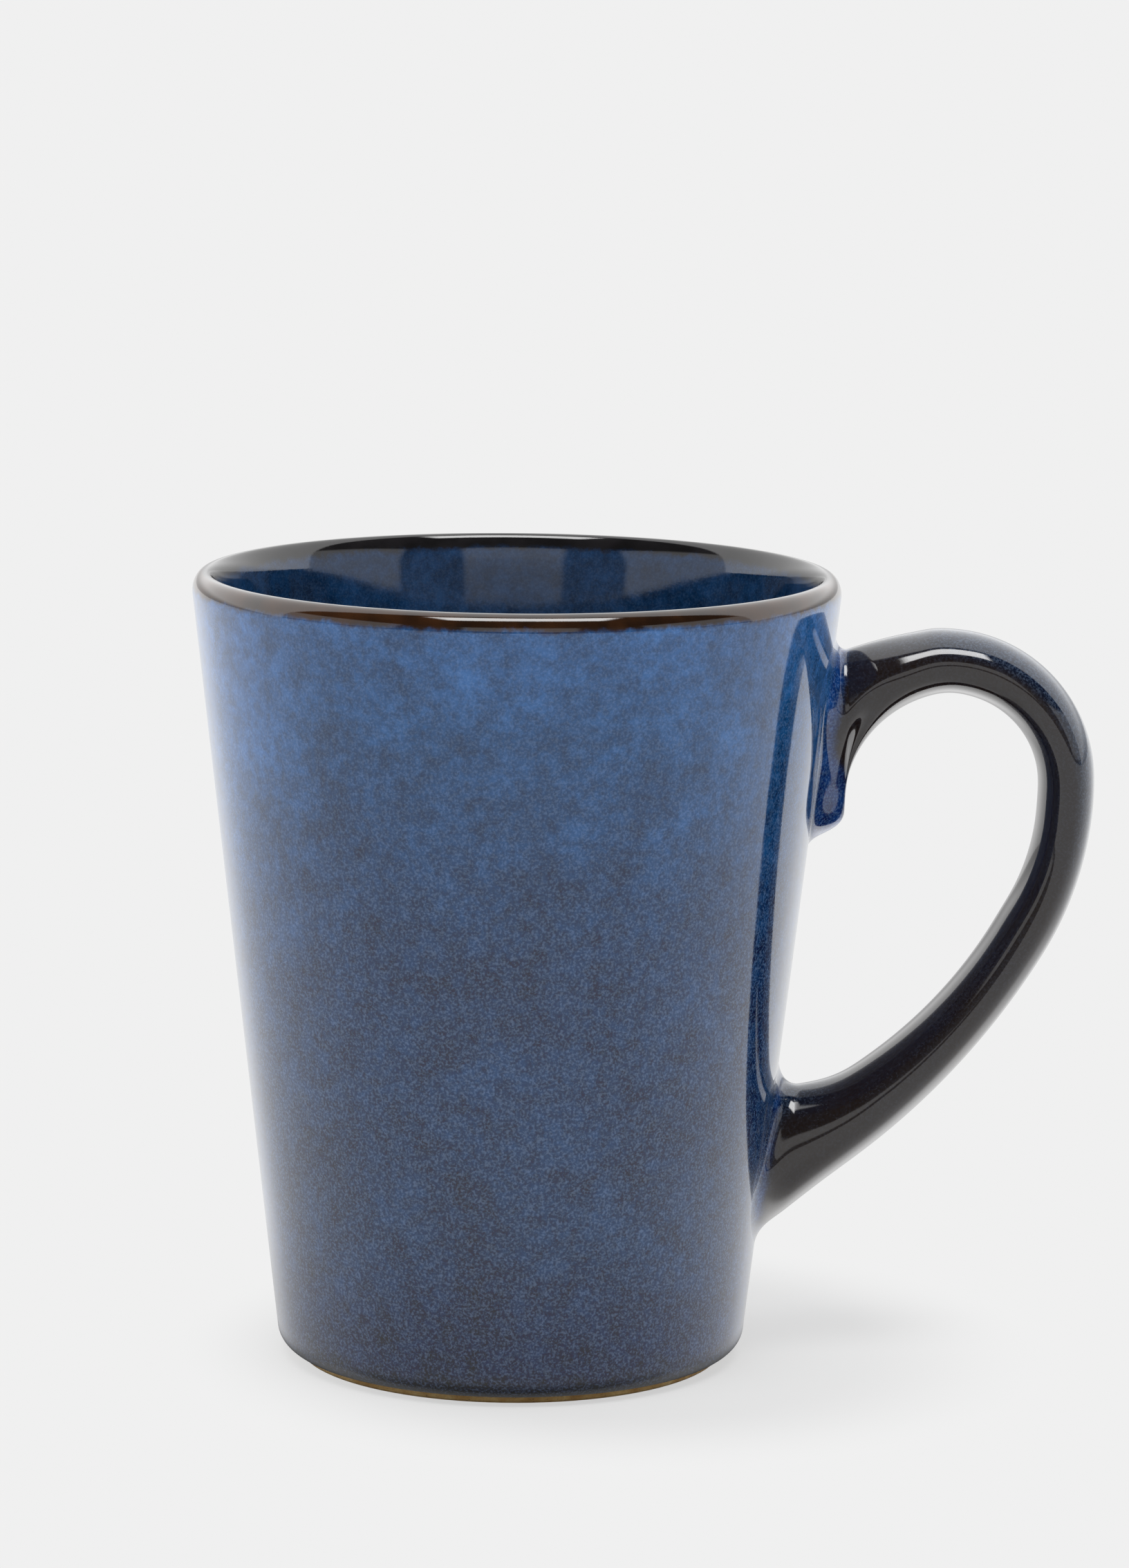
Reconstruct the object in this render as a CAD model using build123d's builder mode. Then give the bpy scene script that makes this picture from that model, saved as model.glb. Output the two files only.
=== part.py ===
"""Stoneware mug: a conical cup with a luted bow handle, under its glaze coats.

Millimetres, +Z up. The origin is on the cup's axis, in the plane that the foot stands on.
The handle points along +X and its bow lies in the XZ plane.
"""
from build123d import *
import os

os.makedirs("parts", exist_ok=True)

# --- driving dimensions ---------------------------------------------------------------------
HEIGHT = 110.0            # foot plane to the top of the lip
RIM_RADIUS = 45.0         # glazed outside of the cone, taken at the full height
BASE_RADIUS = 32.3        # glazed outside of the cone, taken at the foot plane
GLAZE = 0.4               # thickness of every glaze coat
LIP_THICKNESS = 3.4       # glazed wall at the rim
FLOOR_WALL = 4.6          # glazed wall just above the floor
FLOOR_TOP = 7.0           # glazed floor above the foot plane
FLOOR_BEND = 9.0          # radius between the glazed floor and the inside wall

FOOT_RADIUS = 29.8        # outside of the bare foot ring
FOOT_WIDTH = 3.4          # radial width of the foot ring
FOOT_EDGE = 0.3           # chamfer around the foot ring
FOOT_BARE = 0.9           # height of the ring that no glaze covers
FOOT_RECESS = 1.8         # depth of the hollow inside the foot ring
BASE_CURVE = 3.6          # height where the rounded base runs into the cone

RIM_BAND_OUTSIDE = 2.7    # reach of the rim band below the lip, outside
RIM_BAND_INSIDE = 2.1     # the same, inside

SLIP = 0.8                # slip between the cup and each end of the handle
ROOT_SPLIT = 60.0         # height between the upper and the lower end of the handle
RIB_ROUNDING = 0.48       # corner radius of a handle section, as a share of its thickness
RIB_CORNER_LIMIT = 0.46   # and at most this share of its width
RIB_SPACING = 5.0         # distance between sections along the handle, near enough

# Glazed outline of the handle in XZ. Each stretch is one arc outside and one arc inside, by
# start, middle and end, and the handle's width at its start and end.
STRETCHES = {
    "upper root": (
        [(45.7, 99.6), (51.5, 101.3), (58.5, 102.6)],
        [(46.0, 77.0), (49.9, 88.9), (58.5, 93.7)],
        (14.2, 13.6),
    ),
    "bow": (
        [(58.5, 102.6), (74.6, 95.8), (80.2, 79.5)],
        [(58.5, 93.7), (68.9, 89.7), (72.4, 79.0)],
        (13.6, 13.6),
    ),
    "grip": (
        [(80.2, 79.5), (78.5, 68.5), (74.7, 59.0)],
        [(72.4, 79.0), (71.0, 70.2), (67.6, 63.0)],
        (13.6, 13.6),
    ),
    "lower arm": (
        [(74.7, 59.0), (63.4, 42.8), (47.8, 27.9)],
        [(67.6, 63.0), (58.5, 50.2), (46.4, 40.0)],
        (13.6, 14.2),
    ),
    "lower root": (
        [(47.8, 27.9), (43.0, 24.2), (38.4, 20.4)],
        [(46.4, 40.0), (43.5, 38.8), (40.2, 38.1)],
        (14.2, 17.0),
    ),
}
# Sections past the outline's ends, which bury the handle in the wall: outer point, inner
# point, width. The upper end is a tongue laid down the wall; the lower end is spread wide.
UPPER_END = [
    ((40.5, 98.6), (38.0, 74.0), 15.0),
    ((43.6, 99.0), (43.2, 74.2), 14.8),
    ((44.9, 99.4), (45.2, 75.3), 14.5),
]
LOWER_END = [
    ((36.2, 18.0), (38.0, 38.0), 19.0),
    ((32.0, 17.0), (34.0, 38.2), 20.0),
]


# --- shared geometry ------------------------------------------------------------------------
def cone_radius(z, inset=0.0):
    """Radius of the glazed outside at a height, less an inset."""
    return BASE_RADIUS + (RIM_RADIUS - BASE_RADIUS) * z / HEIGHT - inset


def bore_radius(z, inset=0.0):
    """Radius of the glazed inside at a height, plus an inset."""
    at_floor = cone_radius(FLOOR_TOP) - FLOOR_WALL
    at_rim = RIM_RADIUS - LIP_THICKNESS
    return at_floor + (at_rim - at_floor) * (z - FLOOR_TOP) / (HEIGHT - FLOOR_TOP) + inset


def cup_section(inset, foot):
    """Half section of the cup, inset below the glazed surface, standing on the points of foot."""
    lip_base = HEIGHT - LIP_THICKNESS / 2
    outside_lip = (cone_radius(lip_base, inset), lip_base)
    inside_lip = (bore_radius(lip_base, inset), lip_base)
    lip_top = ((outside_lip[0] + inside_lip[0]) / 2, HEIGHT - inset)
    base_top = (cone_radius(BASE_CURVE, inset), BASE_CURVE)
    cone_slope = (RIM_RADIUS - BASE_RADIUS) / HEIGHT
    floor = FLOOR_TOP - inset
    corner = (bore_radius(floor, inset), floor)
    with BuildSketch(Plane.XZ) as section:
        with BuildLine():
            Polyline(*foot)
            TangentArc([base_top, foot[-1]], tangent=(-cone_slope, -1))
            Line(base_top, outside_lip)
            ThreePointArc(outside_lip, lip_top, inside_lip)
            Polyline(inside_lip, corner, (0, floor), foot[0])
        make_face()
        fillet(section.vertices().sort_by_distance(corner)[0], FLOOR_BEND + inset)
    return section.sketch


def section_of(*corners):
    """A straight-sided section in XZ."""
    with BuildSketch(Plane.XZ) as section:
        with BuildLine():
            Polyline(*corners, close=True)
        make_face()
    return section.sketch


def rib_plane(outer, inner):
    """Plane of a handle section, with its x axis from the inner point to the outer one."""
    across = Vector(outer[0] - inner[0], 0, outer[1] - inner[1])
    middle = ((outer[0] + inner[0]) / 2, 0, (outer[1] + inner[1]) / 2)
    return Plane(origin=middle, x_dir=across, z_dir=across.cross(Vector(0, 1, 0)))


def handle_ribs():
    """Sections of the glazed handle from inside the upper wall to inside the lower wall."""
    ribs = list(UPPER_END)
    for outer, inner, (start_width, end_width) in STRETCHES.values():
        outer_arc = ThreePointArc(*outer)
        inner_arc = ThreePointArc(*inner)
        steps = round((outer_arc.length + inner_arc.length) / 2 / RIB_SPACING)
        for step in range(steps):
            share = step / steps
            out, into = outer_arc @ share, inner_arc @ share
            width = start_width + (end_width - start_width) * share
            ribs.append(((out.X, out.Y), (into.X, into.Y), width))
    ribs.append((outer[-1], inner[-1], end_width))
    return ribs + LOWER_END


def rib_section(outer, inner, width, inset):
    """One section of the handle, inset below its glazed surface."""
    thickness = ((outer[0] - inner[0]) ** 2 + (outer[1] - inner[1]) ** 2) ** 0.5
    corner = min(RIB_ROUNDING * thickness, RIB_CORNER_LIMIT * width)
    with BuildSketch(rib_plane(outer, inner)) as section:
        RectangleRounded(thickness - 2 * inset, width - 2 * inset, corner - inset)
    return section.sketch


def finish(piece, name):
    piece.part.label = name
    export_step(piece.part, f"parts/{name}.step")


# --- construction bodies, which are not exported ----------------------------------------------
FOOT_INNER = FOOT_RADIUS - FOOT_WIDTH
FOOT_RING = [
    (0, FOOT_RECESS),
    (FOOT_INNER, FOOT_RECESS),
    (FOOT_INNER, FOOT_EDGE),
    (FOOT_INNER + FOOT_EDGE, 0),
    (FOOT_RADIUS - FOOT_EDGE, 0),
    (FOOT_RADIUS, FOOT_EDGE),
    (FOOT_RADIUS, FOOT_BARE),
]
BEYOND = HEIGHT + 5       # clear of the cup in every direction
MIDDLE_OF_WALL = LIP_THICKNESS / 2
MIDDLE_OF_FLOOR = (FLOOR_TOP + FOOT_RECESS) / 2
OUTSIDE_TOP = HEIGHT - RIM_BAND_OUTSIDE
INSIDE_TOP = HEIGHT - RIM_BAND_INSIDE
FROM_BASE = (Align.CENTER, Align.CENTER, Align.MIN)

with BuildPart() as glazed_cup:
    revolve(cup_section(0, [(0, FOOT_BARE), (FOOT_RADIUS + GLAZE, FOOT_BARE)]))

with BuildPart() as below_band_outside:
    revolve(
        section_of(
            (cone_radius(0, MIDDLE_OF_WALL), 0),
            (BEYOND, 0),
            (BEYOND, OUTSIDE_TOP),
            (cone_radius(OUTSIDE_TOP, MIDDLE_OF_WALL), OUTSIDE_TOP),
        )
    )

with BuildPart() as below_band_inside:
    revolve(
        section_of(
            (0, MIDDLE_OF_FLOOR),
            (cone_radius(MIDDLE_OF_FLOOR, MIDDLE_OF_WALL), MIDDLE_OF_FLOOR),
            (cone_radius(INSIDE_TOP, MIDDLE_OF_WALL), INSIDE_TOP),
            (0, INSIDE_TOP),
        )
    )

with BuildPart() as bare_cone:
    Cone(cone_radius(0, GLAZE), cone_radius(BEYOND, GLAZE), BEYOND, align=FROM_BASE)

with BuildPart() as slip_cone:
    Cone(cone_radius(0, GLAZE - SLIP), cone_radius(BEYOND, GLAZE - SLIP), BEYOND, align=FROM_BASE)

with BuildPart() as glazed_handle:
    loft([rib_section(*rib, inset=0) for rib in handle_ribs()])
    add(bare_cone.part, mode=Mode.SUBTRACT)

with BuildPart() as bare_handle:
    loft([rib_section(*rib, inset=GLAZE) for rib in handle_ribs()])
    add(bare_cone.part, mode=Mode.SUBTRACT)


# --- the clay -------------------------------------------------------------------------------
with BuildPart() as cup_body:
    revolve(cup_section(GLAZE, FOOT_RING))
finish(cup_body, "cup_body")

with BuildPart() as handle:
    add(bare_handle.part)
    add(slip_cone.part, mode=Mode.SUBTRACT)
finish(handle, "handle")

# The slip that lutes the handle on: a thin curved bed between the wall and each end.
with BuildPart() as upper_slip_joint:
    add(bare_handle.part)
    add(slip_cone.part, mode=Mode.INTERSECT)
    split(bisect_by=Plane.XY.offset(ROOT_SPLIT), keep=Keep.TOP)
finish(upper_slip_joint, "upper_slip_joint")

with BuildPart() as lower_slip_joint:
    add(bare_handle.part)
    add(slip_cone.part, mode=Mode.INTERSECT)
    split(bisect_by=Plane.XY.offset(ROOT_SPLIT), keep=Keep.BOTTOM)
finish(lower_slip_joint, "lower_slip_joint")


# --- the glaze coats ------------------------------------------------------------------------
with BuildPart() as outer_glaze:
    add(glazed_cup.part)
    add(below_band_outside.part, mode=Mode.INTERSECT)
    add(cup_body.part, mode=Mode.SUBTRACT)
    add(glazed_handle.part, mode=Mode.SUBTRACT)
finish(outer_glaze, "outer_glaze")

with BuildPart() as inner_glaze:
    add(glazed_cup.part)
    add(below_band_inside.part, mode=Mode.INTERSECT)
    add(cup_body.part, mode=Mode.SUBTRACT)
finish(inner_glaze, "inner_glaze")

# The brown band over the lip: what the two blue coats leave of the wall's coat.
with BuildPart() as rim_glaze:
    add(glazed_cup.part)
    add(cup_body.part, mode=Mode.SUBTRACT)
    add(below_band_outside.part, mode=Mode.SUBTRACT)
    add(below_band_inside.part, mode=Mode.SUBTRACT)
    split(bisect_by=Plane.XY.offset(ROOT_SPLIT), keep=Keep.TOP)
finish(rim_glaze, "rim_glaze")

with BuildPart() as handle_glaze:
    add(glazed_handle.part)
    add(bare_handle.part, mode=Mode.SUBTRACT)
finish(handle_glaze, "handle_glaze")

with BuildPart() as base_glaze:
    with BuildSketch(Plane.XY.offset(FOOT_RECESS - GLAZE)):
        Circle(FOOT_INNER)
    extrude(amount=GLAZE)
finish(base_glaze, "base_glaze")
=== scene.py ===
"""Looks of the stoneware mug: glaze coats, bare clay, the studio around them and the camera."""

import math

import bpy
import numpy as np
from mathutils import Matrix, Vector


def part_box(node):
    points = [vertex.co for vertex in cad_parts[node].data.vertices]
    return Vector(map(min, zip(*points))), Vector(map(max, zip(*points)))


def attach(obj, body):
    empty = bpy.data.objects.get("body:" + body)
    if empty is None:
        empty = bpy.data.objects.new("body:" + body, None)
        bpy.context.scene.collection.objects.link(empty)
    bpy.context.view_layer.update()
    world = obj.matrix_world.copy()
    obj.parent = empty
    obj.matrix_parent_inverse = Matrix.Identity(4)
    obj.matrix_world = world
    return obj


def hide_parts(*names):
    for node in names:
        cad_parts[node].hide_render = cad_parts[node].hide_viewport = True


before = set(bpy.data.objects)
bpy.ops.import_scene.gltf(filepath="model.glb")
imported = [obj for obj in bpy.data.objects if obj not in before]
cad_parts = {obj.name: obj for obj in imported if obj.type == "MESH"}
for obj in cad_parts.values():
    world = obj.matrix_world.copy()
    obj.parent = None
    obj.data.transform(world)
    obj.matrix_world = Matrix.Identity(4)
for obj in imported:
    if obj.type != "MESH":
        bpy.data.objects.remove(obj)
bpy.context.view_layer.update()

MM = 0.001

# --- sizes read from the frame, in metres ---------------------------------------------------
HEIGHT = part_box("rim_glaze")[1].z
OUTER_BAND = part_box("outer_glaze")[1].z          # height where the outer rim band begins
INNER_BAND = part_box("inner_glaze")[1].z          # the same, inside
OUTER_BAND_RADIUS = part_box("outer_glaze")[1].y
FOOT_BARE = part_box("outer_glaze")[0].z           # height of the ring that no glaze covers
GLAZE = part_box("base_glaze")[1].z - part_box("base_glaze")[0].z
INNER_BAND_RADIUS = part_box("inner_glaze")[1].y - GLAZE

# --- sizes that the CAD model also has --------------------------------------------------------
CONE_SLOPE = (45.0 - 32.3) / 110.0
FOOT_RADIUS = 29.8 * MM
BASE_CURVE = 3.6 * MM     # height below which the outside turns in towards the foot
LIP_THICKNESS = 3.4 * MM
FLOOR_TOP = 7.0 * MM
FLOOR_WALL = 4.6 * MM     # the wall's thickness at the floor
FLOOR_BEND = 9.0 * MM     # how far the bend between the two reaches along each
SLIP = 0.8 * MM           # slip between the wall's clay and each end of the handle

# --- what the glaze adds to the cup -----------------------------------------------------------
LIP_CENTRE = 108.3 * MM   # height at which the middle of the wall is taken, for the crest
LIP_LEAN = 0.3 * MM       # how far the crest lies inwards of that middle
LIP_REACH_OUTSIDE = 3.1 * MM          # how far below the crest the outside begins to round over
LIP_REACH_INSIDE = 3.6 * MM           # the same, inside
BEAD_RADIUS = 31.2 * MM   # the thick bead that the glaze ends in, above the bare foot
BEAD_DROP = 0.25 * MM     # height over which the bead rounds under
SEGMENTS = 360            # round the cup
LIP_POINTS = 30           # across each half of the lip, on the glaze's surface
LIP_BACK_POINTS = 12      # the same, where the glaze meets the clay
QUARTER = 0.5523          # handle length that makes a Bezier curve follow a quarter ellipse

# --- the handle -------------------------------------------------------------------------------
# Outline of the handle in XZ, in millimetres: arcs through three points each, end to end, so that
# every other point is where two arcs meet. WIDTHS holds the handle's width at each of those.
OUTER_LINE = [
    (45.7, 99.6), (51.5, 101.3), (58.5, 102.6),   # tongue
    (74.6, 95.8), (80.2, 79.5),                   # bow
    (78.5, 68.5), (74.7, 59.0),                   # grip
    (63.4, 42.8), (47.8, 27.9),                   # lower arm
    (43.0, 24.2), (38.4, 20.4),                   # lower root
]
INNER_LINE = [
    (45.6, 76.4), (49.8, 88.9), (58.5, 93.7),
    (68.9, 89.7), (72.4, 79.0),
    (71.0, 70.2), (67.6, 63.0),
    (58.5, 50.2), (46.4, 40.0),
    (43.5, 38.8), (40.2, 38.1),
]
WIDTHS = [14.2, 13.6, 13.6, 13.6, 14.2, 14.4]
RIB_SPACING = 4.0         # between the sections that the arcs give, in millimetres
# Where each root's edge lies on the wall, as half width and height in millimetres, from the
# outer side of the handle round to its inner side.
UPPER_EDGE = [
    (0, 101.8), (5.6, 101.6), (9.2, 99.6), (10.1, 95.6), (9.7, 90.6),
    (8.3, 85.2), (6.2, 80.0), (4.0, 74.0), (0, 71.4),
]
LOWER_EDGE = [
    (0, 14.8), (4.6, 15.8), (9.0, 18.4), (11.6, 22.2), (11.2, 25.8),
    (9.4, 29.6), (8.0, 34.6), (6.4, 40.2), (0, 42.2),
]
EDGE_DEPTH = 0.02 * MM    # how far those edges lie under the cup's glaze
AROUND = 112              # points around the handle
TURNS = np.linspace(0, 2 * math.pi, AROUND, endpoint=False)   # and their angles
SKIN_STEPS = 190          # sections along the glaze's surface
LINING_STEPS = 70         # sections along the clay, and along the back of the glaze on it
CLOSENESS = 0.8           # of a smooth path to its points: 0 is a plain B-spline, 1 nearly meets them
INNER_START = 0.30        # share of a section's depth at which its inner part begins
INNER_SPAN = 0.50         # share of the depth over which that part comes in fully
TONGUE_FOOT = 0.6 * HEIGHT            # the outer side of every section of the tongue is above this
TONGUE_TAPER = 0.62       # how much narrower the tongue's lower end is than its top
TONGUE_THICKNESS = (10.0 * MM, 23.5 * MM)   # of sections where that begins, and where it is full
END_SCALE = 0.84          # each end of the handle's clay, against its last section
CLAY_INSET = 1.02 * GLAZE             # of the clay under the glaze's surface, clear of the glaze's back
LINING_DEPTH = 0.05 * MM  # how far the glaze's back goes into the cup's glaze at the roots
SLIP_BULGE = 1.04         # the middle of a slip bed, against its two faces


# --- shapes ---------------------------------------------------------------------------------
def cone_radius(z):
    """Radius of the glazed outside at a height."""
    return OUTER_BAND_RADIUS - (OUTER_BAND - z) * CONE_SLOPE


BORE_FOOT_RADIUS = cone_radius(FLOOR_TOP) - FLOOR_WALL
BORE_SLOPE = (INNER_BAND_RADIUS - BORE_FOOT_RADIUS) / (INNER_BAND - FLOOR_TOP)


def bore_radius(z):
    """Radius of the glazed inside at a height."""
    return BORE_FOOT_RADIUS + (z - FLOOR_TOP) * BORE_SLOPE


def bezier(points, count):
    """Points along a cubic Bezier curve, both ends included."""
    p = [np.array(point, float) for point in points]
    t = np.linspace(0, 1, count)[:, None]
    return (1 - t) ** 3 * p[0] + 3 * t * (1 - t) ** 2 * p[1] + 3 * t * t * (1 - t) * p[2] + t ** 3 * p[3]


def straight(start, end, count):
    """Points from start to end, without the end itself."""
    return np.linspace(start, end, count, endpoint=False)


def face_outwards(mesh):
    """Turn the faces over if they enclose a negative volume."""
    mesh.calc_loop_triangles()
    corners = np.empty(3 * len(mesh.loop_triangles), dtype=np.int32)
    mesh.loop_triangles.foreach_get("vertices", corners)
    points = np.empty(3 * len(mesh.vertices), dtype=np.float32)
    mesh.vertices.foreach_get("co", points)
    triangles = points.reshape(-1, 3)[corners].reshape(-1, 3, 3)
    volume = (np.cross(triangles[:, 0], triangles[:, 1]) * triangles[:, 2]).sum()
    if volume < 0:
        mesh.flip_normals()


def mesh_piece(name, vertices, faces, material, sharp_degrees=40):
    """A smooth-shaded mesh object, creased where its faces turn more than sharp_degrees."""
    mesh = bpy.data.meshes.new(name)
    mesh.from_pydata([tuple(v) for v in vertices], [], faces)
    mesh.validate()
    face_outwards(mesh)
    mesh.shade_smooth()
    mesh.set_sharp_from_angle(angle=math.radians(sharp_degrees))
    mesh.materials.append(material)
    piece = bpy.data.objects.new(name, mesh)
    bpy.context.scene.collection.objects.link(piece)
    return piece


def lathe(name, profile, material):
    """A closed profile of (radius, height) points turned round the Z axis."""
    vertices, rings = [], []
    for radius, z in profile:
        if radius < 1e-9:
            rings.append([len(vertices)] * SEGMENTS)
            vertices.append((0, 0, z))
            continue
        rings.append(list(range(len(vertices), len(vertices) + SEGMENTS)))
        turns = np.linspace(0, 2 * math.pi, SEGMENTS, endpoint=False)
        vertices += [(radius * math.cos(t), radius * math.sin(t), z) for t in turns]
    faces = []
    for a, b in zip(rings, rings[1:] + rings[:1]):
        for i in range(SEGMENTS):
            j = (i + 1) % SEGMENTS
            face = list(dict.fromkeys((a[i], a[j], b[j], b[i])))
            if len(face) > 2:
                faces.append(face)
    return mesh_piece(name, vertices, faces, material)


def lip(inset, count):
    """The rounded lip from the outside wall to the inside one, inset below the glaze surface."""
    outside_z, inside_z = HEIGHT - LIP_REACH_OUTSIDE, HEIGHT - LIP_REACH_INSIDE
    outside = np.array((cone_radius(outside_z) - inset, outside_z))
    inside = np.array((bore_radius(inside_z) + inset, inside_z))
    middle = (cone_radius(LIP_CENTRE) + bore_radius(LIP_CENTRE)) / 2
    top = np.array((middle - LIP_LEAN, HEIGHT - inset))
    up_outside = np.array((CONE_SLOPE, 1)) * (top[1] - outside[1]) * QUARTER
    up_inside = np.array((BORE_SLOPE, 1)) * (top[1] - inside[1]) * QUARTER
    half = LIP_THICKNESS / 2 - inset
    outwards = np.array((half + LIP_LEAN, 0)) * QUARTER
    inwards = np.array((half - LIP_LEAN, 0)) * QUARTER
    first = bezier((outside, outside + up_outside, top + outwards, top), count)
    second = bezier((top, top - inwards, inside + up_inside, inside), count)
    return np.vstack((first, second[1:]))


def base_curve(inset, top, foot_radius, foot_z, count):
    """The arc that leaves the cone at a tangent and ends on the foot, inset below the glaze."""
    start = np.array((cone_radius(top) - inset, top))
    end = np.array((foot_radius, foot_z))
    tangent = np.array((-CONE_SLOPE, -1)) / math.hypot(CONE_SLOPE, 1)
    normal = np.array((tangent[1], -tangent[0]))
    chord = end - start
    radius = chord @ chord / (2 * chord @ normal)
    centre = start + normal * radius
    sweep = 2 * math.atan2(chord @ normal, chord @ tangent)
    turns = np.linspace(0, sweep, count)
    return centre - radius * (np.outer(np.cos(turns), normal) - np.outer(np.sin(turns), tangent))


def split_lip(inset, count):
    """The lip in three parts: below the rim band outside, the band itself, and below it inside."""
    points = lip(inset, count)
    crest = points[:, 1].argmax()
    rise, fall = points[:crest], points[crest:]
    start = np.array((np.interp(OUTER_BAND, rise[:, 1], rise[:, 0]), OUTER_BAND))
    end = np.array((np.interp(INNER_BAND, fall[::-1, 1], fall[::-1, 0]), INNER_BAND))
    outside = np.vstack((rise[rise[:, 1] < OUTER_BAND], start))
    band = np.vstack((start, rise[rise[:, 1] > OUTER_BAND], fall[fall[:, 1] > INNER_BAND], end))
    inside = np.vstack((end, fall[fall[:, 1] < INNER_BAND]))
    return outside, band, inside


SURFACE_LIP = split_lip(0, LIP_POINTS)
BACK_LIP = split_lip(GLAZE, LIP_BACK_POINTS)


def outer_profile():
    """Section of the outside coat: down the wall to the bead above the foot, and up its back."""
    rise, back_rise = SURFACE_LIP[0], BACK_LIP[0]
    outside = straight(rise[0], (cone_radius(BASE_CURVE), BASE_CURVE), count=52)
    surface = base_curve(0, BASE_CURVE, BEAD_RADIUS, FOOT_BARE + BEAD_DROP, count=18)
    back = base_curve(GLAZE, BASE_CURVE, FOOT_RADIUS, FOOT_BARE, count=10)[::-1]
    bead_top, bead_end = surface[-1], back[0]
    over = bead_top + np.array((-0.4, -1)) * 0.8 * BEAD_DROP
    under = bead_end + (0.5 * GLAZE, 0)
    bead = bezier((bead_top, over, under, bead_end), count=8)
    inside = straight(back[-1], back_rise[0], count=14)
    return np.vstack((rise[:0:-1], outside, surface[:-1], bead, back[1:-1], inside, back_rise))


def rim_profile():
    """Section of the coat over the lip, between the two blue coats."""
    return np.vstack((SURFACE_LIP[1], BACK_LIP[1][::-1]))


def floor_bend(inset, count=20):
    """The bend from the inner wall into the floor, inset below the glaze surface."""
    floor = FLOOR_TOP - inset
    corner = np.array((bore_radius(floor) + inset, floor))
    reach = (FLOOR_BEND + inset) * 0.9
    wall = corner + np.array((BORE_SLOPE, 1)) * reach
    flat = corner - np.array((reach, 0))
    pull = 0.55
    return bezier((wall, wall + (corner - wall) * pull, flat + (corner - flat) * pull, flat), count)


def inner_profile():
    """Section of the inside coat: down the wall, along the floor, and back under both."""
    fall, back_fall = SURFACE_LIP[2], BACK_LIP[2]
    bend, back_bend = floor_bend(0), floor_bend(GLAZE)
    wall = straight(fall[-1], bend[0], count=44)
    flat = straight(bend[-1], (0, FLOOR_TOP), count=12)
    centre = [(0, FLOOR_TOP), (0, FLOOR_TOP - GLAZE)]
    back_flat = [back_bend[-1] * np.array((0.5, 1))]
    surface = np.vstack((fall[:-1], wall, bend[:-1], flat))
    return np.vstack((surface, centre, back_flat, back_bend[::-1], back_fall[::-1]))


def through_three(start, middle, end, shares):
    """Points at shares of the way along the arc through three points."""
    a, b, c = (complex(*p) for p in (start, middle, end))
    w = (c - a) / (b - a)
    centre = a + (b - a) * (w - abs(w) ** 2) / (w - w.conjugate())
    sweep = math.remainder(np.angle((c - centre) / (a - centre)), 2 * math.pi)
    turned = centre + (a - centre) * np.exp(1j * sweep * np.array(shares))
    return np.column_stack((turned.real, turned.imag))


def smooth_path(points, steps):
    """A uniform cubic B-spline that keeps close to the points and stops at the end ones."""
    def spline(control):
        padded = np.vstack((2 * control[0] - control[1], control, 2 * control[-1] - control[-2]))
        at = np.linspace(0, len(control) - 1, steps)
        span = np.minimum(at.astype(int), len(control) - 2)
        t = (at - span)[:, None]
        weights = ((1 - t) ** 3, 3 * t ** 3 - 6 * t * t + 4, -3 * t ** 3 + 3 * t * t + 3 * t + 1, t ** 3)
        return sum(w / 6 * padded[span + k] for k, w in enumerate(weights))

    padded = np.vstack((2 * points[0] - points[1], points, 2 * points[-1] - points[-2]))
    passed = (padded[:-2] + 4 * padded[1:-1] + padded[2:]) / 6
    return spline(points + CLOSENESS * (points - passed))


def handle_stations(steps):
    """Rows of outer x, outer z, inner x, inner z and width, in metres, along the handle."""
    rows = []
    for k, (start_width, end_width) in enumerate(zip(WIDTHS, WIDTHS[1:])):
        outer, inner = OUTER_LINE[2 * k:2 * k + 3], INNER_LINE[2 * k:2 * k + 3]
        run = math.dist(outer[0], outer[1]) + math.dist(outer[1], outer[2])
        run += math.dist(inner[0], inner[1]) + math.dist(inner[1], inner[2])
        shares = np.linspace(0, 1, round(run / 2 / RIB_SPACING), endpoint=False)
        widths = start_width + (end_width - start_width) * shares
        rows.append(np.column_stack((through_three(*outer, shares), through_three(*inner, shares), widths)))
    rows.append([[*OUTER_LINE[-1], *INNER_LINE[-1], WIDTHS[-1]]])
    return smooth_path(np.vstack(rows), steps) * MM


def smooth_share(values, start, span):
    """A smooth step that leaves 0 at start and reaches 1 a span later."""
    share = np.clip((values - start) / span, 0, 1)
    return share * share * (3 - 2 * share)


def towards_inner():
    """For the points round a section, 0 over its outer part, rising to 1 over its inner part."""
    return smooth_share((1 - np.cos(TURNS)) / 2, INNER_START, INNER_SPAN)


def section_ring(station, inset, taper):
    """Points round one oval section of the handle, from its outer side towards -Y and back. Its
    inner part is narrowed by taper."""
    outer = np.array((station[0], 0, station[1]))
    inner = np.array((station[2], 0, station[3]))
    thickness = np.linalg.norm(outer - inner)
    across = (outer - inner) / thickness
    narrowed = 1 - taper * towards_inner()
    along = np.cos(TURNS) * (thickness / 2 - inset)
    side = np.sin(TURNS) * narrowed * (station[4] / 2 - inset)
    return (outer + inner) / 2 + along[:, None] * across + side[:, None] * np.array((0, -1, 0))


def handle_sections(steps, inset=0.0):
    """Sections along the whole handle; the upper tongue narrows towards its lower end."""
    stations = handle_stations(steps)
    thickness = np.hypot(stations[:, 0] - stations[:, 2], stations[:, 1] - stations[:, 3])
    start, full = TONGUE_THICKNESS
    in_tongue = stations[:, 1] > TONGUE_FOOT
    tapers = TONGUE_TAPER * in_tongue * smooth_share(thickness, start, full - start)
    return [section_ring(station, inset, taper) for station, taper in zip(stations, tapers)]


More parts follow.
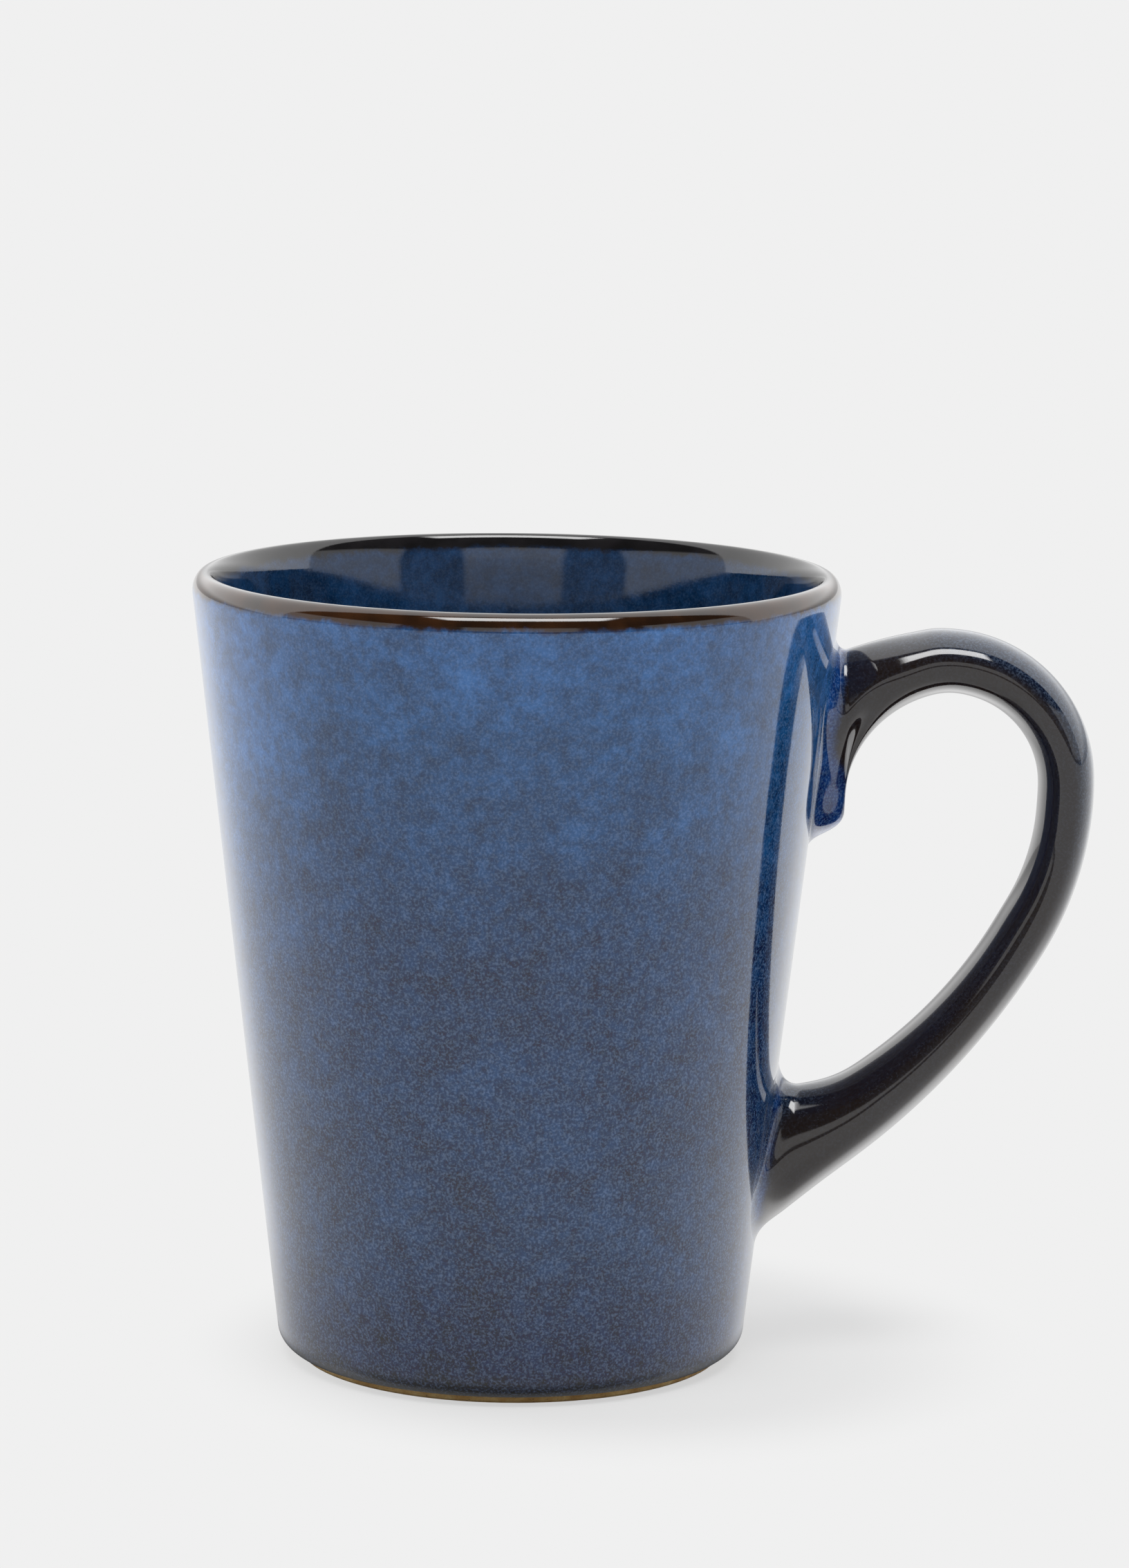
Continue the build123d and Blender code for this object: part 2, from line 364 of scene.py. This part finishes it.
def wall_edge(points):
    """The edge of a root on the wall, one point for each point round the section."""
    count = AROUND // 2 + 1
    half = smooth_path(np.array(points, float), count) * MM
    half[0, 0] = half[-1, 0] = 0
    y = np.concatenate((-half[:, 0], half[-2:0:-1, 0]))
    z = np.concatenate((half[:, 1], half[-2:0:-1, 1]))
    radius = cone_radius(z) - EDGE_DEPTH
    return np.column_stack((np.sqrt(radius ** 2 - y ** 2), y, z))


def root_rings(ring, next_ring, edge, pull_out, pull_in, lean, count):
    """Rings that carry a section down on to the wall. They leave along the handle, by pull_out of
    the way, and land along the wall's surface, by pull_in. Lean turns the inner part's leaving
    straight towards the edge."""
    gap = np.linalg.norm(edge - ring, axis=1)[:, None]
    leaving = ring - next_ring
    leaving /= np.linalg.norm(leaving, axis=1)[:, None]
    share = lean * towards_inner()[:, None]
    leaving += share * ((edge - ring) / gap - leaving)
    leaving /= np.linalg.norm(leaving, axis=1)[:, None]
    outward = edge / np.linalg.norm(edge * (1, 1, 0), axis=1)[:, None]
    outward[:, 2] = -CONE_SLOPE
    outward /= np.linalg.norm(outward, axis=1)[:, None]
    away = edge - edge.mean(0)
    away -= (away * outward).sum(1)[:, None] * outward
    away /= np.linalg.norm(away, axis=1)[:, None]
    first = ring + leaving * gap * pull_out
    last = edge - away * gap * pull_in
    rings = [bezier((a, b, c, d), count) for a, b, c, d in zip(ring, first, last, edge)]
    return np.swapaxes(np.array(rings), 0, 1)


def handle_skin():
    """Rings of the handle's glaze surface, from the upper edge on the wall to the lower one."""
    rings = handle_sections(SKIN_STEPS)
    upper_edge, lower_edge = wall_edge(UPPER_EDGE), wall_edge(LOWER_EDGE)
    upper = root_rings(rings[0], rings[1], upper_edge, pull_out=0.40, pull_in=0.36, lean=0.3, count=26)
    lower = root_rings(rings[-1], rings[-2], lower_edge, pull_out=0.40, pull_in=0.42, lean=0.0, count=30)
    return list(upper[:0:-1]) + rings + list(lower[1:])


def on_wall(ring, depth, scale=1.0):
    """A ring of the handle, scaled about its middle and moved along X to a depth in the wall."""
    middle = ring.mean(0)
    moved = middle + (ring - middle) * scale
    moved[:, 0] = np.sqrt((cone_radius(moved[:, 2]) - depth) ** 2 - moved[:, 1] ** 2)
    return moved


def handle_lining(inset, depth):
    """Rings of the clay under the coat, from a depth in the upper wall to the same in the lower."""
    rings = handle_sections(LINING_STEPS, inset)
    return [on_wall(rings[0], depth, END_SCALE)] + rings + [on_wall(rings[-1], depth, END_SCALE)]


def slip_bed(name, ring, material):
    """The slip between the wall's clay and one end of the handle, bulging where it squeezed out."""
    on_clay, on_handle = on_wall(ring, GLAZE), on_wall(ring, GLAZE - SLIP)
    squeezed = on_wall(ring, GLAZE - SLIP / 2, SLIP_BULGE)
    return tube(name, [on_clay, squeezed, on_handle], material, capped=True)


def tube(name, rings, material, capped=False):
    """Rings joined one to the next, with both ends capped, or else the last joined to the first."""
    vertices = np.vstack(rings)
    faces = []
    if capped:
        last = len(vertices) - AROUND
        faces = [tuple(range(AROUND)), tuple(range(last, last + AROUND))[::-1]]
    for k in range(len(rings) - capped):
        a, b = k * AROUND, (k + 1) % len(rings) * AROUND
        for i in range(AROUND):
            j = (i + 1) % AROUND
            faces.append((a + i, b + i, b + j, a + j))
    return mesh_piece(name, vertices, faces, material, sharp_degrees=60)


# --- materials ------------------------------------------------------------------------------
class Tree:
    """A node tree with short calls: nodes are made by type, and inputs are values or sockets."""

    def __init__(self, owner):
        owner.use_nodes = True
        self.tree = owner.node_tree
        self.tree.nodes.clear()

    def node(self, kind, inputs=None, **settings):
        made = self.tree.nodes.new(kind)
        for name, value in settings.items():
            setattr(made, name, value)
        for key, value in (inputs or {}).items():
            if isinstance(value, bpy.types.NodeSocket):
                self.tree.links.new(value, made.inputs[key])
            else:
                made.inputs[key].default_value = value
        return made

    def math(self, operation, a, b=0.0, c=0.0):
        return self.node("ShaderNodeMath", {0: a, 1: b, 2: c}, operation=operation).outputs[0]

    def vector(self, operation, a, b=(0, 0, 0)):
        """Vector maths; for SCALE, b is the number that a is multiplied by."""
        inputs = {0: a, 3 if operation == "SCALE" else 1: b}
        made = self.node("ShaderNodeVectorMath", inputs, operation=operation)
        return made.outputs[1 if operation in ("LENGTH", "DOT_PRODUCT") else 0]

    def mix(self, share, a, b):
        """Colour a where share is 0, b where it is 1."""
        made = self.node("ShaderNodeMix", data_type="RGBA")
        for index, value in ((0, share), (6, a), (7, b)):
            if isinstance(value, bpy.types.NodeSocket):
                self.tree.links.new(value, made.inputs[index])
            else:
                made.inputs[index].default_value = value
        return made.outputs[2]

    def ramp(self, value, stops):
        """A colour by value, from stops that each hold a value and its colour."""
        made = self.node("ShaderNodeValToRGB", {0: value})
        elements = made.color_ramp.elements
        while len(elements) < len(stops):
            elements.new(0.5)
        for element, (position, colour) in zip(elements, stops):
            element.position = position
            element.color = (*colour, 1)
        return made.outputs[0]

    def smooth(self, value, low, high, from_value=0.0, to_value=1.0):
        """A smooth step from from_value to to_value, as value goes from low to high."""
        inputs = {"Value": value, 1: low, 2: high, 3: from_value, 4: to_value}
        return self.node("ShaderNodeMapRange", inputs, interpolation_type="SMOOTHSTEP").outputs[0]

    def noise(self, coordinates, size, detail=2.0, roughness=0.5):
        """Noise from 0 to 1 with features of about size, in metres."""
        inputs = {"Vector": coordinates, "Scale": 1 / size, "Detail": detail, "Roughness": roughness}
        return self.node("ShaderNodeTexNoise", inputs).outputs[0]


def blend_values(t, share, low, high):
    """low where share is 0, high where it is 1."""
    return t.math("ADD", low, t.math("MULTIPLY", share, t.math("SUBTRACT", high, low)))


BLUE_AND_SHADE_BY_HEIGHT = [        # share of the mug's height, and the blue's mean colour there: the glaze's own colour, with painted shade that darkens it towards the foot
    (0.010, (0.0045, 0.0048, 0.0080)),
    (0.022, (0.0060, 0.0110, 0.0290)),
    (0.045, (0.0090, 0.0225, 0.0620)),
    (0.120, (0.0095, 0.0255, 0.0670)),
    (0.220, (0.0100, 0.0320, 0.0820)),
    (0.550, (0.0105, 0.0360, 0.0950)),
    (0.700, (0.0115, 0.0480, 0.1300)),
    (0.850, (0.0135, 0.0630, 0.1720)),
    (0.960, (0.0180, 0.0750, 0.2050)),
]
INSIDE_PAINTED_SHADE = 0.40                    # painted shade inside the cup: how bright the blue is there, against outside
BROWN = (0.0210, 0.0075, 0.0020, 1)
INSIDE_BROWN = (0.0080, 0.0072, 0.0080, 1)
OUTSIDE_BREAK = 2.2 * MM              # how far below the crest the blue breaks to brown, outside
INSIDE_BREAK = 2.0 * MM               # the same, inside
BREAK_WANDER = 2.2 * MM               # how far that edge wanders up and down
BLACK_BROWN = (0.0115, 0.0080, 0.0078, 1)
HANDLE_BLUE = (0.0075, 0.0180, 0.0400, 1)
POOLED_BLUE = (0.009, 0.042, 0.150)
POOL_WANDER = 2.0 * MM                # how far the edge of the pooled blue wanders
POOL_EDGE = (0.7 * MM, 2.5 * MM)      # distance from the wall over which the pooled blue ends
BETWEEN_ROOTS = (45 * MM, 70 * MM)    # heights where what is said of one root gives way to the other
LOWER_POOL = 0.9 * MM                 # how much nearer to the wall it ends at the lower root
TIP_POOL = -3.0 * MM                  # the same at the tongue's lower tip, where it ends further out
SPECK = (0.060, 0.078, 0.112)         # how much lighter a speck is than the glaze around it
SPECK_MEAN = 0.27                     # how much of that the surface has on average
DARKEST = (0.002, 0.002, 0.002)       # the least that is left between the specks
CLOUD_SIZE, PATCH_SIZE, FLECK_SIZE, SPECKLE_SIZE = 24 * MM, 7 * MM, 1.9 * MM, 0.34 * MM


def speckled(t, colour, specks, amount=1.0):
    """A colour with light specks, darker between them, so that its mean stays as it is."""
    light = t.vector("SCALE", SPECK, t.math("MULTIPLY", specks, amount))
    return t.vector("MAXIMUM", t.vector("ADD", colour, light), DARKEST)


def blue_at(t, at, height):
    """The blue's mean colour by height, darkened towards the foot by painted shade, drifting up and down in
    clouds, and the clouds' tone.
    """
    clouds = t.noise(at, size=CLOUD_SIZE, detail=3.0, roughness=0.55)
    drift = t.math("MULTIPLY", t.math("SUBTRACT", clouds, 0.5), 0.20)
    drift = t.math("MULTIPLY", drift, t.smooth(height, 0.06, 0.18))
    return t.ramp(t.math("ADD", height, drift), BLUE_AND_SHADE_BY_HEIGHT), t.smooth(clouds, 0.34, 0.66, 0.88, 1.14)


def rim_band(t, at, z, outside, blue):
    """Blue that breaks to brown near the lip's crest, at an edge that wanders."""
    noise = t.noise(at, size=2.4 * MM, detail=5.0, roughness=0.65)
    wander = t.math("MULTIPLY", t.math("SUBTRACT", noise, 0.5), BREAK_WANDER)
    start = blend_values(t, outside, HEIGHT - INSIDE_BREAK, HEIGHT - OUTSIDE_BREAK)
    band = t.smooth(t.math("SUBTRACT", t.math("ADD", z, wander), start), -0.6 * MM, 0.5 * MM)
    brown_tone = t.smooth(t.noise(at, size=5 * MM, detail=3.0), 0.3, 0.7, 0.5, 1.5)
    brown = t.vector("SCALE", t.mix(outside, INSIDE_BROWN, BROWN), brown_tone)
    return t.mix(band, blue, brown)


def pooled(t, at, z, away):
    """1 where the blue pools at the handle's roots, 0 further out along the handle."""
    noise = t.noise(at, size=4 * MM, detail=3.0)
    wander = t.math("MULTIPLY", t.math("SUBTRACT", noise, 0.5), POOL_WANDER)
    lower = t.smooth(z, *BETWEEN_ROOTS, LOWER_POOL, 0.0)
    tip = t.math("MULTIPLY", t.smooth(z, *BETWEEN_ROOTS), t.smooth(z, 80 * MM, 87 * MM, TIP_POOL, 0.0))
    distance = t.math("ADD", t.math("ADD", away, wander), t.math("ADD", lower, tip))
    return t.smooth(distance, *POOL_EDGE, 1.0, 0.0)


def handle_black(t, at, specks):
    """The handle's near-black, with a blue cast and more specks on its outer and upper side."""
    dark_noise = t.smooth(t.noise(at, size=15 * MM, detail=3.0), 0.40, 0.65)
    normal = t.node("ShaderNodeNewGeometry").outputs["Normal"]
    facing = t.node("ShaderNodeSeparateXYZ", {0: normal}).outputs
    outer_side = t.smooth(t.math("ADD", facing[0], facing[2]), 0.2, 1.2)
    blueness = t.math("MULTIPLY_ADD", outer_side, 0.90, t.math("MULTIPLY", dark_noise, 0.10))
    speck_share = t.smooth(blueness, 0.0, 0.8, 0.12, 0.55)
    return speckled(t, t.mix(blueness, BLACK_BROWN, HANDLE_BLUE), specks, speck_share)


def glaze(name, handle=False):
    """Glossy reactive glaze: mottled blue, darkened inside the cup by painted shade, that breaks to brown
    over the lip, or the handle's black.
    """
    material = bpy.data.materials.new(name)
    t = Tree(material)
    at = t.node("ShaderNodeTexCoord").outputs["Object"]
    z = t.node("ShaderNodeSeparateXYZ", {0: at}).outputs[2]
    height = t.math("DIVIDE", z, HEIGHT)
    radius = t.vector("LENGTH", t.vector("MULTIPLY", at, (1, 1, 0)))
    away = t.math("SUBTRACT", radius, t.math("MULTIPLY_ADD", z, CONE_SLOPE, cone_radius(0)))
    outside = t.math("GREATER_THAN", away, -LIP_THICKNESS / 2)
    # painted shade: the blue inside the cup is darkened to stand for the shade that falls there
    shade_inside = blend_values(t, outside, INSIDE_PAINTED_SHADE, 1.0)

    patches = t.noise(at, size=PATCH_SIZE, detail=3.0, roughness=0.6)
    flecks = t.noise(at, size=FLECK_SIZE, detail=4.0, roughness=0.75)
    speckle = t.noise(at, size=SPECKLE_SIZE, detail=2.0, roughness=0.65)
    specks = t.math("SUBTRACT", t.smooth(speckle, 0.40, 0.70), SPECK_MEAN)
    blue, cloud_tone = blue_at(t, at, height)
    patch_tone = t.smooth(patches, 0.30, 0.70, 0.80, 1.20)
    fleck_tone = t.smooth(flecks, 0.30, 0.70, 0.66, 1.34)
    tone = t.math("MULTIPLY", t.math("MULTIPLY", cloud_tone, patch_tone), fleck_tone)
    tone = t.math("MULTIPLY", tone, shade_inside)
    speck_share = t.math("MULTIPLY", t.smooth(height, 0.45, 0.95, 1.0, 0.55), shade_inside)
    blue = speckled(t, t.vector("SCALE", blue, tone), specks, speck_share)

    if handle:
        pool = speckled(t, t.vector("SCALE", POOLED_BLUE, tone), specks)
        root_blue = t.mix(t.smooth(away, 0.0, 0.8 * MM), blue, pool)
        colour = t.mix(pooled(t, at, z, away), handle_black(t, at, specks), root_blue)
    else:
        colour = rim_band(t, at, z, outside, blue)

    ripple = t.noise(at, size=4.5 * MM, detail=1.0)
    grain = t.node("ShaderNodeBump", {"Strength": 0.30, "Distance": 0.006 * MM, "Height": speckle})
    bump = t.node(
        "ShaderNodeBump",
        {"Strength": 0.5, "Distance": 0.02 * MM, "Height": ripple, "Normal": grain.outputs[0]},
    )
    roughness = t.smooth(patches, 0.3, 0.7, 0.035, 0.075)
    shader = t.node(
        "ShaderNodeBsdfPrincipled",
        {"Base Color": colour, "Roughness": roughness, "IOR": 1.55, "Normal": bump.outputs[0]},
    )
    t.node("ShaderNodeOutputMaterial", {"Surface": shader.outputs[0]})
    return material


TOASTED = [               # from the darkest patches of the bare clay to the lightest
    (0.28, (0.30, 0.155, 0.040)),
    (0.45, (0.42, 0.250, 0.080)),
    (0.60, (0.54, 0.370, 0.150)),
    (0.75, (0.64, 0.510, 0.270)),
]
GROG = (0.10, 0.055, 0.025, 1)


def bare_clay(name, tone=1.0):
    """Unglazed stoneware: tan to amber, toasted in patches, with dark grog and a fine tooth."""
    material = bpy.data.materials.new(name)
    t = Tree(material)
    at = t.node("ShaderNodeTexCoord").outputs["Object"]
    body = t.ramp(t.noise(at, size=3.0 * MM, detail=4.0, roughness=0.6), TOASTED)
    grog = t.smooth(t.noise(at, size=0.35 * MM, detail=2.0, roughness=0.7), 0.62, 0.70)
    colour = t.mix(t.math("MULTIPLY", grog, 0.7), body, GROG)
    colour = t.vector("SCALE", colour, tone)
    tooth = t.noise(at, size=0.18 * MM, detail=3.0, roughness=0.7)
    bump = t.node("ShaderNodeBump", {"Strength": 0.5, "Distance": 0.03 * MM, "Height": tooth})
    roughness = t.smooth(tooth, 0.3, 0.7, 0.62, 0.85)
    shader = t.node(
        "ShaderNodeBsdfPrincipled",
        {"Base Color": colour, "Roughness": roughness, "Normal": bump.outputs[0]},
    )
    t.node("ShaderNodeOutputMaterial", {"Surface": shader.outputs[0]})
    return material


# --- the mug --------------------------------------------------------------------------------
clay = bare_clay("bare_clay")
slip = bare_clay("slip", tone=0.8)
for node_name, material in (("cup_body", clay), ("base_glaze", glaze("base_coat"))):
    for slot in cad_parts[node_name].material_slots:
        slot.material = material

clay_rings = handle_lining(CLAY_INSET, GLAZE - SLIP)
outer_coat = lathe("outer_coat", outer_profile(), glaze("blue_glaze_outside"))
inner_coat = lathe("inner_coat", inner_profile(), glaze("blue_glaze_inside"))
rim_coat = lathe("rim_coat", rim_profile(), glaze("brown_glaze"))
lining = handle_lining(GLAZE, LINING_DEPTH)[::-1]
handle_coat = tube("handle_coat", handle_skin() + lining, glaze("dark_glaze", handle=True))
handle_clay = tube("handle_clay", clay_rings, clay, capped=True)
upper_slip = slip_bed("upper_slip", clay_rings[0], slip)
lower_slip = slip_bed("lower_slip", clay_rings[-1], slip)

for piece, node_name, slot_name in (
    (outer_coat, "outer_glaze", "blue_glaze"),
    (inner_coat, "inner_glaze", "blue_glaze"),
    (rim_coat, "rim_glaze", "brown_glaze"),
    (handle_coat, "handle_glaze", "dark_glaze"),
    (handle_clay, "handle", "bare_clay"),
    (upper_slip, "upper_slip_joint", "slip"),
    (lower_slip, "lower_slip_joint", "slip"),
):
    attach(piece, "root")
    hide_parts(node_name)


# --- studio -----------------------------------------------------------------------------------
BACKDROP = 0.871          # radiance of the white sweep
FLOOR_SIZE = 60.0         # half the side of the floor
SHADOWED = 0.34           # share of the floor's brightness that shadows can take away
FLOOR_REFLECTANCE = 0.139
SHADOW_SHIFT = 14 * MM    # the shaded part of the table lies round a point this far to the right
SHADOW_FADE = (35 * MM, 62 * MM)      # and fades out between these distances
# Painted shade of the table round the mug, as the glaze reflects it: two distances from the axis, and the
# share left at each.
REFLECTED_TABLE_SHADE = (24 * MM, 95 * MM, 0.72, 1.0)
# Painted contact shade close round the foot, given in the same way.
CONTACT_SHADE = (FOOT_RADIUS, FOOT_RADIUS + 9 * MM, 0.1, 1.0)
TABLE_FRONT = 1.05        # radiance of the lit table in reflections, in front of the mug
TABLE_BESIDE = 1.60       # the same, beside and behind it
TABLE_FAR = 0.90          # the same, straight behind it and near the horizon
TABLE_UNDER = 1.30        # what the table gains close behind the mug, under the key light
DARK_ROOM = (0.22, 0.07)  # in front of the mug: near the horizon, and higher up
SKY_BEHIND = 2.05         # from overhead to low behind the mug
# Where those change, in degrees from the horizon in front of the mug, over it, to the one behind.
DARKENS, OVERHEAD, FAR_HORIZON = (8, 35), (86, 91), (164, 178)
PANELS = (                # azimuth, elevation, half width, half height and radiance
    (5, 71, 0.385, 0.18, 12.0),       # the key light
    (-70, 13, 0.50, 0.20, 1.05),
    (74, 13, 0.50, 0.20, 1.05),
    (1.5, 15, 0.36, 0.15, 1.10),
)


def softbox(t, direction, azimuth, elevation, half_width, half_height, edge=0.04):
    """1 inside a rectangular panel far away, 0 outside it. Azimuth 0 is behind the camera, and the
    half sizes are tangents."""
    a, e = math.radians(azimuth), math.radians(elevation)
    centre = Vector((math.sin(a) * math.cos(e), -math.cos(a) * math.cos(e), math.sin(e)))
    right = Vector((math.cos(a), math.sin(a), 0))
    up = right.cross(centre)
    ahead = t.vector("DOT_PRODUCT", direction, centre)
    share = t.math("GREATER_THAN", ahead, 0.05)
    for axis, half in ((right, half_width), (up, half_height)):
        off = t.math("ABSOLUTE", t.math("DIVIDE", t.vector("DOT_PRODUCT", direction, axis), ahead))
        share = t.math("MULTIPLY", share, t.smooth(off, half - edge, half + edge, 1.0, 0.0))
    return share


def sky(t, direction, y, z):
    """The room above the table: dark in front, with panels and a key light, and white behind."""
    over = t.math("MULTIPLY", t.math("ARCTAN2", z, t.math("MULTIPLY", y, -1.0)), 180 / math.pi)
    level = t.smooth(over, *DARKENS, *DARK_ROOM)
    level = blend_values(t, t.smooth(over, *OVERHEAD), level, SKY_BEHIND)
    level = blend_values(t, t.smooth(over, *FAR_HORIZON), level, BACKDROP)
    for azimuth, elevation, half_width, half_height, strength in PANELS:
        inside = softbox(t, direction, azimuth, elevation, half_width, half_height)
        level = t.math("MAXIMUM", level, t.math("MULTIPLY", inside, strength))
    return level


def table(t, x, y, z):
    """The lit table, as the glaze reflects it. From -1 in front of the mug, turn rises to 1 straight
    behind it, and z falls to -1 straight down."""
    run = t.math("SQRT", t.math("ADD", t.math("MULTIPLY", x, x), t.math("MULTIPLY", y, y)))
    turn = t.math("DIVIDE", y, run)
    beside = t.math("DIVIDE", t.math("ABSOLUTE", x), run)
    glow = t.smooth(turn, -0.90, 0.72, TABLE_FRONT, TABLE_BESIDE)
    straight_behind = t.math("MULTIPLY", t.smooth(beside, 0.05, 0.57, 1.0, 0.0), t.smooth(turn, 0.3, 0.6))
    far = t.math("MULTIPLY", straight_behind, t.smooth(z, -0.60, -0.35))
    glow = blend_values(t, far, glow, TABLE_FAR)
    under = t.math("MULTIPLY", t.smooth(y, 0.0, 0.35), t.smooth(z, -0.45, -0.75))
    return t.math("MULTIPLY_ADD", under, TABLE_UNDER, glow)


def studio_world():
    """An even white for the camera, and the room and table for what the mug reflects."""
    world = bpy.data.worlds.new("studio")
    bpy.context.scene.world = world
    t = Tree(world)
    direction = t.node("ShaderNodeTexCoord").outputs["Generated"]
    x, y, z = t.node("ShaderNodeSeparateXYZ", {0: direction}).outputs
    above = t.math("GREATER_THAN", z, 0.0)
    level = blend_values(t, above, table(t, x, y, z), sky(t, direction, y, z))
    seen = t.node("ShaderNodeLightPath").outputs["Is Camera Ray"]
    level = blend_values(t, seen, level, BACKDROP)
    background = t.node("ShaderNodeBackground", {"Color": (1, 1, 1, 1), "Strength": level})
    t.node("ShaderNodeOutputWorld", {"Surface": background.outputs[0]})


def floor_sheet():
    """A white table. The camera sees it even, with faint shadows. Reflections pass through it to
    the table's glow in the world, darkened close to the foot by painted shade."""
    material = bpy.data.materials.new("floor")
    t = Tree(material)
    at = t.node("ShaderNodeTexCoord").outputs["Object"]
    from_middle = t.vector("LENGTH", t.vector("SUBTRACT", at, (SHADOW_SHIFT, 0, 0)))
    shaded = t.smooth(from_middle, *SHADOW_FADE, 1.0, 0.0)
    reflectance = t.vector("SCALE", (FLOOR_REFLECTANCE,) * 3, shaded)
    lit = t.node("ShaderNodeBsdfDiffuse", {"Color": reflectance})
    brightness = blend_values(t, shaded, BACKDROP, BACKDROP * (1 - SHADOWED))
    glow = t.node("ShaderNodeEmission", {"Strength": brightness})
    seen = t.node("ShaderNodeAddShader", {0: lit.outputs[0], 1: glow.outputs[0]})
    from_axis = t.vector("LENGTH", at)
    # painted shade: reflections of the table darken near the foot, standing in for its shadow there
    painted_table_shade = t.math("MULTIPLY", t.smooth(from_axis, *REFLECTED_TABLE_SHADE), t.smooth(from_axis, *CONTACT_SHADE))
    through = t.node("ShaderNodeBsdfTransparent", {"Color": t.vector("SCALE", (1, 1, 1), painted_table_shade)})
    camera_ray = t.node("ShaderNodeLightPath").outputs["Is Camera Ray"]
    both = t.node("ShaderNodeMixShader", {0: camera_ray, 1: through.outputs[0], 2: seen.outputs[0]})
    t.node("ShaderNodeOutputMaterial", {"Surface": both.outputs[0]})
    corners = [(FLOOR_SIZE * x, FLOOR_SIZE * y, 0) for x, y in ((-1, -1), (1, -1), (1, 1), (-1, 1))]
    floor = mesh_piece("floor", corners, [(0, 1, 2, 3)], material)


def camera():
    """The camera's place and aim, from a fit of the rim, the wall lines and the foot."""
    distance = 7.19103 * HEIGHT
    height = 1.93727 * HEIGHT
    yaw, pitch, roll = 0.0086, 0.16626, -0.01041   # in radians; pitch is downwards
    data = bpy.data.cameras.new("camera")
    data.sensor_fit = "VERTICAL"
    data.sensor_height = 36.0
    data.lens = 132.9
    data.clip_end = 500.0
    made = bpy.data.objects.new("camera", data)
    bpy.context.scene.collection.objects.link(made)
    ahead = Vector((math.sin(yaw) * math.cos(pitch), math.cos(yaw) * math.cos(pitch), -math.sin(pitch)))
    level_right = Vector((math.cos(yaw), -math.sin(yaw), 0))
    level_up = level_right.cross(ahead)
    right = math.cos(roll) * level_right - math.sin(roll) * level_up
    up = math.sin(roll) * level_right + math.cos(roll) * level_up
    turn = Matrix((right, up, -ahead)).transposed()
    made.matrix_world = Matrix.Translation((0, -distance, height)) @ turn.to_4x4()
    bpy.context.scene.camera = made


studio_world()
floor_sheet()
camera()
bpy.context.scene.view_settings.view_transform = "Standard"
